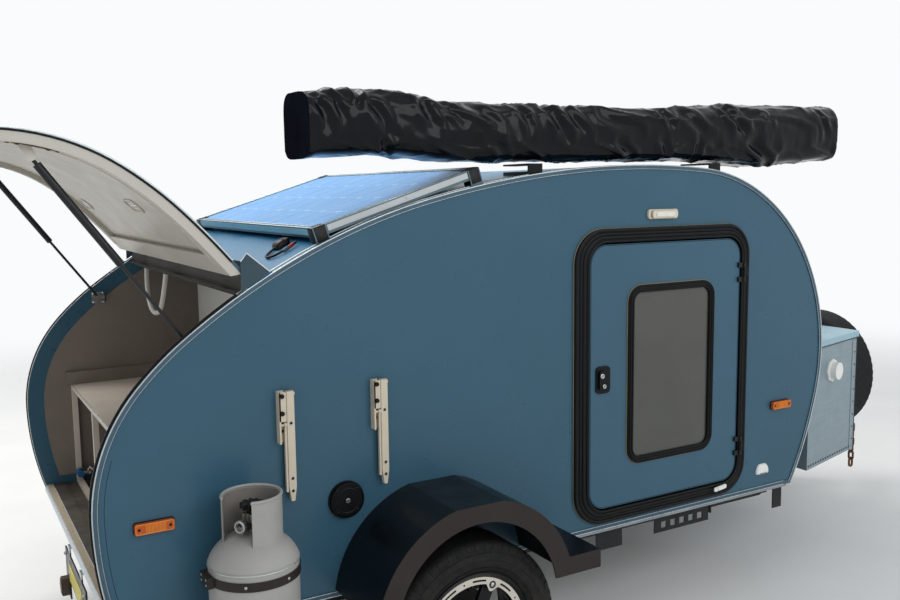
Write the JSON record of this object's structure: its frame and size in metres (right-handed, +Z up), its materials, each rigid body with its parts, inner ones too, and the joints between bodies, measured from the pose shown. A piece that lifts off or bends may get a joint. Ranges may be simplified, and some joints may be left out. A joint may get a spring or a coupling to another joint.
{
  "type": "teardrop trailer",
  "caption": "Small rounded camping trailer with a rear galley under a raised hatch, side doors, front box, roof awning bag, solar panel and drawbar.",
  "frame": {"origin": "centre of the towing ball in the coupling's socket", "axes": "+X forward to the hitch, +Y to the trailer's left, +Z up"},
  "size_m": [4.7144, 2.14, 1.964],
  "materials": {
    "body_paint": "satin blue-green paint",
    "edge_rubber": "black edge rubber",
    "black_plastic": "matte black",
    "window_tint": "grey tinted pane",
    "liner_white": "off-white moulding",
    "brown_panel": "taupe laminate",
    "white_panel": "white laminate",
    "floor_ply": "dark plywood",
    "chassis_black": "semi-gloss black",
    "fender_black": "satin black",
    "steel": "plain steel",
    "zinc": "zinc plated",
    "tyre_rubber": "black rubber",
    "alloy": "black and machined alloy",
    "pale_blue_sheet": "pale blue sheet",
    "bag_vinyl": "shiny black vinyl",
    "solar_cells": "blue cells under glass",
    "cable_black": "black cable",
    "bottle_paint": "pale grey paint",
    "lamp_orange": "orange lens",
    "lamp_dark": "dark lens",
    "cream_steel": "cream paint",
    "strut_black": "gloss black",
    "hose_white": "off-white hose",
    "aluminium": "bright"
  },
  "bodies": {
    "body": {"wall_right": "body_paint", "wall_left": "body_paint", "edge_trims": "edge_rubber", "roof_shell": "body_paint", "floor": "floor_ply", "bulkhead": "white_panel", "galley_linings": "brown_panel", "galley_bench": "white_panel", "door_frames": "black_plastic", "chassis": "chassis_black", "coupling": "zinc", "axle": "chassis_black", "leaf_springs": "chassis_black", "fenders": "fender_black", "storage_box": "pale_blue_sheet", "power_inlet": "liner_white", "spare_rim": "steel", "spare_tyre": "tyre_rubber", "chain": "zinc", "awning_bag": "bag_vinyl", "awning_brackets": "black_plastic", "solar_panel": "solar_cells", "solar_cable": "cable_black", "gas_bottle": "bottle_paint", "bottle_bracket": "strut_black", "filler_cap": "black_plastic", "lamps": "lamp_orange", "table_plates": "cream_steel", "jockey_tube": "zinc", "rear_sill": "aluminium", "tail_lamps": "lamp_dark", "hose_loop": "hose_white"},
    "wheel_right": {"rim_right": "alloy", "tyre_right": "tyre_rubber"},
    "wheel_left": {"rim_left": "alloy", "tyre_left": "tyre_rubber"},
    "door_right": {"door_leaf_right": "body_paint", "door_fittings_right": "black_plastic", "door_glass_right": "window_tint"},
    "door_left": {"door_leaf_left": "body_paint", "door_fittings_left": "black_plastic", "door_glass_left": "window_tint"},
    "hatch": {"hatch_skin": "body_paint", "hatch_liner": "liner_white"},
    "strut_tube_right": {"strut_tube_right": "strut_black"},
    "strut_tube_left": {"strut_tube_left": "strut_black"},
    "strut_rod_right": {"strut_rod_right": "steel"},
    "strut_rod_left": {"strut_rod_left": "steel"},
    "box_lid": {"box_lid": "pale_blue_sheet"},
    "jockey_fork": {"jockey_fork": "zinc"},
    "jockey_wheel": {"jockey_wheel": "tyre_rubber"},
    "table_arm_1": {"table_arm_1": "cream_steel"},
    "table_arm_2": {"table_arm_2": "cream_steel"},
    "table_brace_1": {"table_brace_1": "steel"},
    "table_brace_2": {"table_brace_2": "steel"},
    "leg_front_right": {"leg_front_right": "zinc"},
    "leg_front_left": {"leg_front_left": "zinc"},
    "leg_rear_right": {"leg_rear_right": "zinc"},
    "leg_rear_left": {"leg_rear_left": "zinc"}
  },
  "joints": [
    {"name": "wheel_right", "type": "hinge", "parent": "body", "child": "wheel_right", "pos_m": [-3.066, -0.917, -0.122], "axis": [0, 1, 0], "continuous": true},
    {"name": "wheel_left", "type": "hinge", "parent": "body", "child": "wheel_left", "pos_m": [-3.066, 0.917, -0.122], "axis": [0, 1, 0], "continuous": true},
    {"name": "door_right", "type": "hinge", "parent": "body", "child": "door_right", "pos_m": [-1.725, -0.796, 0.556], "axis": [0, 0, 1], "range_deg": [0, 100]},
    {"name": "door_left", "type": "hinge", "parent": "body", "child": "door_left", "pos_m": [-1.725, 0.796, 0.556], "axis": [0, 0, -1], "range_deg": [0, 100]},
    {"name": "hatch", "type": "hinge", "parent": "body", "child": "hatch", "pos_m": [-3.668, 0, 0.99831], "axis": [0, -1, 0], "range_deg": [0, 82]},
    {"name": "strut_tube_right", "type": "hinge", "parent": "hatch", "child": "strut_tube_right", "pos_m": [-4.18321, -0.722, 1.31367], "axis": [0, -1, 0], "range_deg": [0, 19.76]},
    {"name": "strut_rod_right", "type": "slide", "parent": "strut_tube_right", "child": "strut_rod_right", "axis": [0.5856, 0, -0.8106], "range_m": [-0.27849, 0]},
    {"name": "strut_tube_left", "type": "hinge", "parent": "hatch", "child": "strut_tube_left", "pos_m": [-4.18321, 0.722, 1.31367], "axis": [0, -1, 0], "range_deg": [0, 19.76]},
    {"name": "strut_rod_left", "type": "slide", "parent": "strut_tube_left", "child": "strut_rod_left", "axis": [0.5856, 0, -0.8106], "range_m": [-0.27849, 0]},
    {"name": "box_lid", "type": "hinge", "parent": "body", "child": "box_lid", "pos_m": [-1.234, 0, 0.559], "axis": [0, -1, 0], "range_deg": [0, 80]},
    {"name": "jockey_swivel", "type": "hinge", "parent": "body", "child": "jockey_fork", "pos_m": [-0.38, 0.222, -0.19], "axis": [0, 0, 1], "continuous": true},
    {"name": "jockey_wheel", "type": "hinge", "parent": "jockey_fork", "child": "jockey_wheel", "pos_m": [-0.425, 0.222, -0.315], "axis": [0, 1, 0], "continuous": true},
    {"name": "table_arm_1", "type": "hinge", "parent": "body", "child": "table_arm_1", "pos_m": [-3.559, -0.798, 0.65], "axis": [-1, 0, 0], "range_deg": [0, 90]},
    {"name": "table_brace_1", "type": "hinge", "parent": "body", "child": "table_brace_1", "pos_m": [-3.559, -0.798, 0.562], "axis": [-1, 0, 0], "range_deg": [0, 116.8]},
    {"name": "table_arm_2", "type": "hinge", "parent": "body", "child": "table_arm_2", "pos_m": [-3.263, -0.798, 0.65], "axis": [-1, 0, 0], "range_deg": [0, 90]},
    {"name": "table_brace_2", "type": "hinge", "parent": "body", "child": "table_brace_2", "pos_m": [-3.263, -0.798, 0.562], "axis": [-1, 0, 0], "range_deg": [0, 116.8]},
    {"name": "leg_front_right", "type": "hinge", "parent": "body", "child": "leg_front_right", "pos_m": [-1.5, -0.6885, -0.036], "axis": [0, -1, 0], "range_deg": [0, 80]},
    {"name": "leg_front_left", "type": "hinge", "parent": "body", "child": "leg_front_left", "pos_m": [-1.5, 0.6885, -0.036], "axis": [0, -1, 0], "range_deg": [0, 80]},
    {"name": "leg_rear_right", "type": "hinge", "parent": "body", "child": "leg_rear_right", "pos_m": [-3.9, -0.6885, -0.036], "axis": [0, 1, 0], "range_deg": [0, 80]},
    {"name": "leg_rear_left", "type": "hinge", "parent": "body", "child": "leg_rear_left", "pos_m": [-3.9, 0.6885, -0.036], "axis": [0, 1, 0], "range_deg": [0, 80]}
  ],
  "couplings": [
    {"joint": "strut_tube_right", "follows": "hatch", "ratio": 0.24092},
    {"joint": "strut_rod_right", "follows": "hatch", "m_per_rad": -0.19459},
    {"joint": "strut_tube_left", "follows": "hatch", "ratio": 0.24092},
    {"joint": "strut_rod_left", "follows": "hatch", "m_per_rad": -0.19459},
    {"joint": "table_brace_1", "follows": "table_arm_1", "ratio": 1.2964},
    {"joint": "table_brace_2", "follows": "table_arm_2", "ratio": 1.2964}
  ]
}
